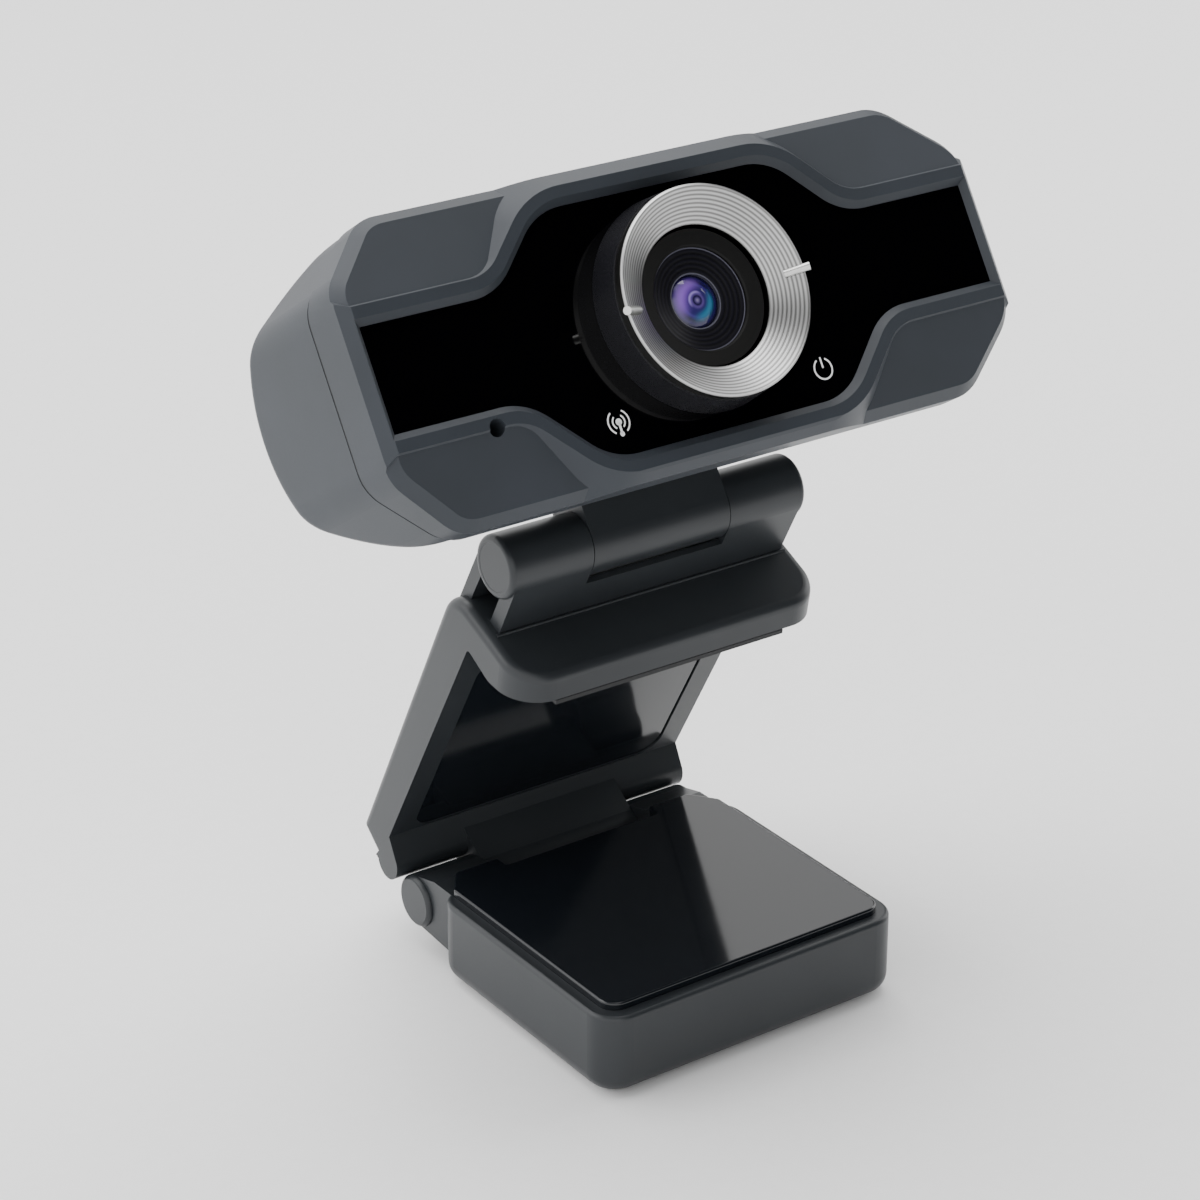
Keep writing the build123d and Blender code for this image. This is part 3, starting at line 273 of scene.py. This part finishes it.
def band_at(tree, reach, radius_mm, half_width_mm):
    """One inside a thin ring of that radius, fading to nought at its two edges."""
    off = add(tree, "ShaderNodeMath", {0: reach, 1: radius_mm}, operation="SUBTRACT")
    far = add(tree, "ShaderNodeMath", {0: off.outputs["Value"]}, operation="ABSOLUTE")
    return add(
        tree,
        "ShaderNodeMapRange",
        {"Value": far.outputs["Value"], "From Max": half_width_mm, "To Min": 1.0, "To Max": 0.0},
        interpolation_type="SMOOTHSTEP",
    ).outputs["Result"]


def blend_over(tree, amount, under, over):
    """The second colour laid over the first by that amount."""
    return add(
        tree, "ShaderNodeMix", {"Factor": amount, "A": under, "B": over}, data_type="RGBA"
    ).outputs["Result"]


glass_mm = 3.2  # radius of the glass that shows
retainer_mm = 6.06  # radius of the retaining ring's outer edge


def retaining_ring_with_painted_edge_highlights():
    """Black anodised retaining ring: light-trap grooves, and two painted highlights, thin light
    rings laid into its colour along its two edges, one at the rim and one round the glass."""
    material, tree, shader, place = finish_named("grooved_black_ring_with_painted_edge_highlights")
    centred = lens_axis_place(tree, place)
    reach = ring_radius_of(tree, centred)
    grooves = turning_marks(tree, centred, 0.55)
    bump = add(tree, "ShaderNodeBump", {"Height": grooves, "Distance": 0.01 * mm})
    tone = add(tree, "ShaderNodeValToRGB", {"Fac": grooves})
    tone.color_ramp.elements[0].color = linear("#050509")
    tone.color_ramp.elements[1].color = linear("#0e0d17")
    # painted highlight: a thin light ring at the rim edge and another round the glass
    outer_edge_painted_highlight = band_at(tree, reach, retainer_mm, 0.12)
    inner_edge_painted_highlight = band_at(tree, reach, glass_mm + 0.07, 0.14)
    painted_edge_highlights = add(tree, "ShaderNodeMath", {0: outer_edge_painted_highlight, 1: inner_edge_painted_highlight}, operation="MAXIMUM")
    # the painted edge highlights laid over the ring's dark colour in light grey
    colour = blend_over(tree, painted_edge_highlights.outputs["Value"], tone.outputs["Color"], linear("#5d5d6a"))
    shader.inputs["Roughness"].default_value = 0.34
    shader.inputs["Specular IOR Level"].default_value = 0.2
    tree.links.new(colour, shader.inputs["Base Color"])
    tree.links.new(bump.outputs["Normal"], shader.inputs["Normal"])
    return material


retainer_with_painted_highlights = retaining_ring_with_painted_edge_highlights()


def painted_glint_towards(tree, centred, across, up, near_mm, far_mm):
    """Nought at the lens's middle, rising to one at far_mm in that direction."""
    side = add(tree, "ShaderNodeVectorMath", {0: centred, 1: (across, up, 0.0)}, operation="DOT_PRODUCT")
    return add(
        tree,
        "ShaderNodeMapRange",
        {"Value": side.outputs["Value"], "From Min": near_mm * mm, "From Max": far_mm * mm},
        interpolation_type="SMOOTHSTEP",
    ).outputs["Result"]


def make_painted_glint_glass():
    """Optical glass, near black, with painted reflections: lighter and darker rings painted round
    the lens axis, and painted glints in lilac on one side and in teal on the other."""
    material, tree, shader, place = finish_named("near_black_optical_glass_painted_glints")
    centred = lens_axis_place(tree, place)
    reach = ring_radius_of(tree, centred)
    bands = add(tree, "ShaderNodeMapRange", {"Value": reach, "From Max": glass_mm})
    around = add(tree, "ShaderNodeValToRGB", {"Fac": bands.outputs["Result"]})
    ramp = around.color_ramp
    # painted reflections: lighter and darker rings at fixed distances from the axis
    painted_reflection_rings = [
        (0.0, "#8b80a8"), (0.1, "#4a3f72"), (0.16, "#1c1838"), (0.24, "#5b4a8c"), (0.34, "#332a66"),
        (0.52, "#2c2566"), (0.6, "#3a2f80"), (0.72, "#181440"), (0.84, "#231d58"), (1.0, "#08081a"),
    ]
    ramp.elements[0].position = painted_reflection_rings[0][0]
    ramp.elements[0].color = linear(painted_reflection_rings[0][1])
    ramp.elements[1].position = painted_reflection_rings[-1][0]
    ramp.elements[1].color = linear(painted_reflection_rings[-1][1])
    for position, code in painted_reflection_rings[1:-1]:
        ramp.elements.new(position).color = linear(code)
    # painted glints, crescents of colour in place of reflections in the coatings: lilac up and to one side,
    # teal below and opposite, and a pale lilac ring near the middle
    colour = around.outputs["Color"]
    for code, radius, half_width, across, up, near, far in (
        ("#8a5cc8", 1.9, 1.2, -0.75, 0.66, -0.2, 2.0),
        ("#2f7a9c", 1.8, 0.9, 0.7, -0.71, 0.3, 1.9),
        ("#9a86d0", 1.0, 0.25, -0.6, 0.8, -0.2, 0.9),
    ):
        glint_side = painted_glint_towards(tree, centred, across, up, near, far)
        painted_glint = add(
            tree,
            "ShaderNodeMath",
            {0: band_at(tree, reach, radius, half_width), 1: glint_side},
            operation="MULTIPLY",
        )
        colour = blend_over(tree, painted_glint.outputs["Value"], colour, linear(code))
    shader.inputs["Roughness"].default_value = 0.05
    shader.inputs["IOR"].default_value = 1.6
    tree.links.new(colour, shader.inputs["Base Color"])
    return material


lens_glass_painted_glints = make_painted_glint_glass()

for name in ("front_bezel", "rear_shell"):
    wear(name, housing_abs)
for name in ("clip_arm", "foot_shell", "neck_knuckle", "foot_hinge_caps", "tilt_hinge_caps"):
    wear(name, stand_abs)
for name in ("foot_bottom_plate", "focus_ring_clip", "lens_holder", "lens_spacer"):
    wear(name, inner_abs)
# The microphone has a black mesh over its port, as dark as the barrel.
for name in ("lens_barrel", "microphone"):
    wear(name, barrel_black)
# The seam gasket is a black strip sunk in the gap between the two shells: a seal, and its black also stands in
# for the shade in that gap, painted shade.
for name in ("foot_sole", "lip_pad", "cable_grommet", "mic_gasket", "seam_gasket"):
    wear(name, soft_rubber)
wear("front_panel", piano_black)
wear("lens_turret", turret_satin)
for name in ("foot_pad", "leg_panel"):
    wear(name, grip_gel)
for name in (
    "foot_screws", "foot_hinge_pin", "foot_hinge_friction_washers", "tilt_hinge_pin",
    "tilt_hinge_friction_washers", "neck_screws", "head_screws", "board_screws",
    "lens_holder_screws", "clock_crystal",
):
    wear(name, zinc_steel)
for name in ("image_sensor", "image_processor", "flash_memory"):
    wear(name, chip_epoxy)
for name in ("front_lens", "rear_lens", "infrared_filter"):
    wear(name, lens_glass_painted_glints)
for name in ("indicator_leds", "status_light_pipe", "power_light_pipe"):
    wear(name, pipe_acrylic)
wear("tripod_insert", turned_brass)
wear("main_board", solder_mask)
wear("board_connector", white_nylon)
wear("lens_retaining_ring", retainer_with_painted_highlights)
wear("focus_ring", ring_metal)
wear("focus_ring_bars", bright_bar)


def box_stroke(bm, across, up, width, height):
    """A straight stroke of ink, given by its middle and its size in millimetres."""
    spot = Matrix.Translation((across * mm, up * mm, ink_middle)) @ Matrix.Diagonal(
        (width * mm, height * mm, ink_thickness, 1.0)
    )
    bmesh.ops.create_cube(bm, size=1.0, matrix=head_place @ spot)


def arc_stroke(bm, across, up, radius, width, start, sweep):
    """A stroke of ink round a centre, from one angle in degrees and on by a sweep."""
    centre = Matrix.Translation((across * mm, up * mm, ink_middle))
    end = (
        head_place
        @ centre
        @ Matrix.Rotation(radians(start), 4, "Z")
        @ Matrix.Translation((radius * mm, 0.0, 0.0))
        @ Matrix.Rotation(radians(90.0), 4, "X")
        @ Matrix.Diagonal((width * mm / 2, ink_thickness / 2, 1.0, 1.0))
    )
    made = bmesh.ops.create_grid(bm, x_segments=1, y_segments=1, size=1.0, matrix=end)
    face = made["verts"][0].link_faces[0]
    bmesh.ops.spin(
        bm,
        geom=[face, *face.edges, *face.verts],
        cent=(head_place @ centre).translation,
        axis=head_place.to_3x3() @ Vector((0.0, 0.0, 1.0)),
        angle=radians(sweep),
        steps=24,
    )


def printed(name, strokes):
    """An icon printed in white on the front panel, over its light pipe."""
    bm = bmesh.new()
    for draw, values in strokes:
        draw(bm, *values)
    bmesh.ops.recalc_face_normals(bm, faces=bm.faces)
    mesh = bpy.data.meshes.new(name)
    bm.to_mesh(mesh)
    bm.free()
    icon = bpy.data.objects.new(name, mesh)
    bpy.context.scene.collection.objects.link(icon)
    mesh.materials.append(white_ink)
    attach(icon, "head")


ink_thickness = 0.025 * mm
ink_middle = 0.02 * mm
icon_across = 14.6
icon_up = -11.2
printed(
    "wireless_icon",
    [
        (box_stroke, (-icon_across, icon_up - 0.5, 0.28, 1.3)),
        (arc_stroke, (-icon_across, icon_up - 1.25, 0.15, 0.3, 0.0, 359.0)),
        (arc_stroke, (-icon_across, icon_up + 0.15, 0.2, 0.4, 0.0, 359.0)),
        (arc_stroke, (-icon_across, icon_up + 0.15, 0.8, 0.18, -55.0, 110.0)),
        (arc_stroke, (-icon_across, icon_up + 0.15, 0.8, 0.18, 125.0, 110.0)),
        (arc_stroke, (-icon_across, icon_up + 0.15, 1.4, 0.18, -58.0, 116.0)),
        (arc_stroke, (-icon_across, icon_up + 0.15, 1.4, 0.18, 122.0, 116.0)),
    ],
)
printed(
    "power_icon",
    [
        (box_stroke, (icon_across, icon_up + 0.75, 0.22, 1.3)),
        (arc_stroke, (icon_across, icon_up, 1.25, 0.2, 117.0, 306.0)),
    ],
)


def studio():
    """A pale floor, soft lamps and the camera."""
    bm = bmesh.new()
    bmesh.ops.create_grid(bm, x_segments=1, y_segments=1, size=6.0)
    mesh = bpy.data.meshes.new("floor")
    bm.to_mesh(mesh)
    bm.free()
    floor = bpy.data.objects.new("floor", mesh)
    bpy.context.scene.collection.objects.link(floor)
    paper, tree, shader, place = finish_named("white_paper_sweep")
    tooth = add(tree, "ShaderNodeTexNoise", {"Vector": place, "Scale": 1 / (2 * mm)})
    tone = add(tree, "ShaderNodeValToRGB", {"Fac": tooth.outputs["Fac"]})
    tone.color_ramp.elements[0].color = linear("#f6f6f6")
    tone.color_ramp.elements[1].color = linear("#fafafa")
    tree.links.new(tone.outputs["Color"], shader.inputs["Base Color"])
    shader.inputs["Roughness"].default_value = 0.9
    mesh.materials.append(paper)

    aim = Vector((0.0, 0.0, 60 * mm))  # the middle of the camera's height
    lamps = (
        # name, azimuth, elevation, distance, size, watts
        ("left_softbox", -120.0, 35.0, 0.8, 0.6, 2.0),
        ("top_softbox", 170.0, 70.0, 0.9, 0.8, 7.0),
        ("right_softbox", 95.0, 20.0, 0.8, 0.5, 2.0),
    )
    for name, azimuth, elevation, distance, size, watts in lamps:
        light = bpy.data.lights.new(name, "AREA")
        light.shape = "SQUARE"
        light.size = size
        light.energy = watts
        lamp = bpy.data.objects.new(name, light)
        bpy.context.scene.collection.objects.link(lamp)
        a, e = radians(azimuth), radians(elevation)
        away = Vector((sin(a) * cos(e), -cos(a) * cos(e), sin(e)))
        lamp.location = aim + away * distance
        lamp.rotation_euler = away.to_track_quat("Z", "Y").to_euler()

    world = bpy.data.worlds.new("studio")
    bpy.context.scene.world = world
    world.use_nodes = True
    tree = world.node_tree
    tree.nodes.clear()
    way = add(tree, "ShaderNodeTexCoord").outputs["Generated"]
    # Black flags: a large one in front, up and to the right, where the polished panel
    # looks, and two small ones where two parts of the ring look.
    level = None
    for azimuth, elevation, inner, outer in (
        (42.0, 33.0, 0.95, 0.55),
        (-67.0, 65.0, 0.97, 0.9),
        (117.0, 14.0, 0.97, 0.9),
    ):
        a, e = radians(azimuth), radians(elevation)
        towards = add(
            tree,
            "ShaderNodeVectorMath",
            {0: way, 1: (sin(a) * cos(e), -cos(a) * cos(e), sin(e))},
            operation="DOT_PRODUCT",
        )
        clear = add(
            tree,
            "ShaderNodeMapRange",
            {
                "Value": towards.outputs["Value"], "From Min": outer, "From Max": inner,
                "To Min": 1.0, "To Max": 0.0,
            },
            interpolation_type="SMOOTHSTEP",
        ).outputs["Result"]
        if level is None:
            level = clear
        else:
            level = add(tree, "ShaderNodeMath", {0: level, 1: clear}, operation="MULTIPLY").outputs["Value"]
    brightness = 1.9
    strength = add(tree, "ShaderNodeMath", {0: level, 1: brightness}, operation="MULTIPLY")
    sky = add(tree, "ShaderNodeBackground", {"Color": linear("#ffffff"), "Strength": strength.outputs["Value"]})
    add(tree, "ShaderNodeOutputWorld", {"Surface": sky.outputs["Background"]})

    camera = bpy.data.cameras.new("camera")
    camera.lens = 102.3
    camera.sensor_width = 36.0
    viewpoint = bpy.data.objects.new("camera", camera)
    bpy.context.scene.collection.objects.link(viewpoint)
    viewpoint.location = Vector((-220.3, -298.4, 227.6)) * mm
    viewpoint.rotation_euler = (radians(90 - 25.15), 0.0, radians(-35.13))
    bpy.context.scene.camera = viewpoint


studio()
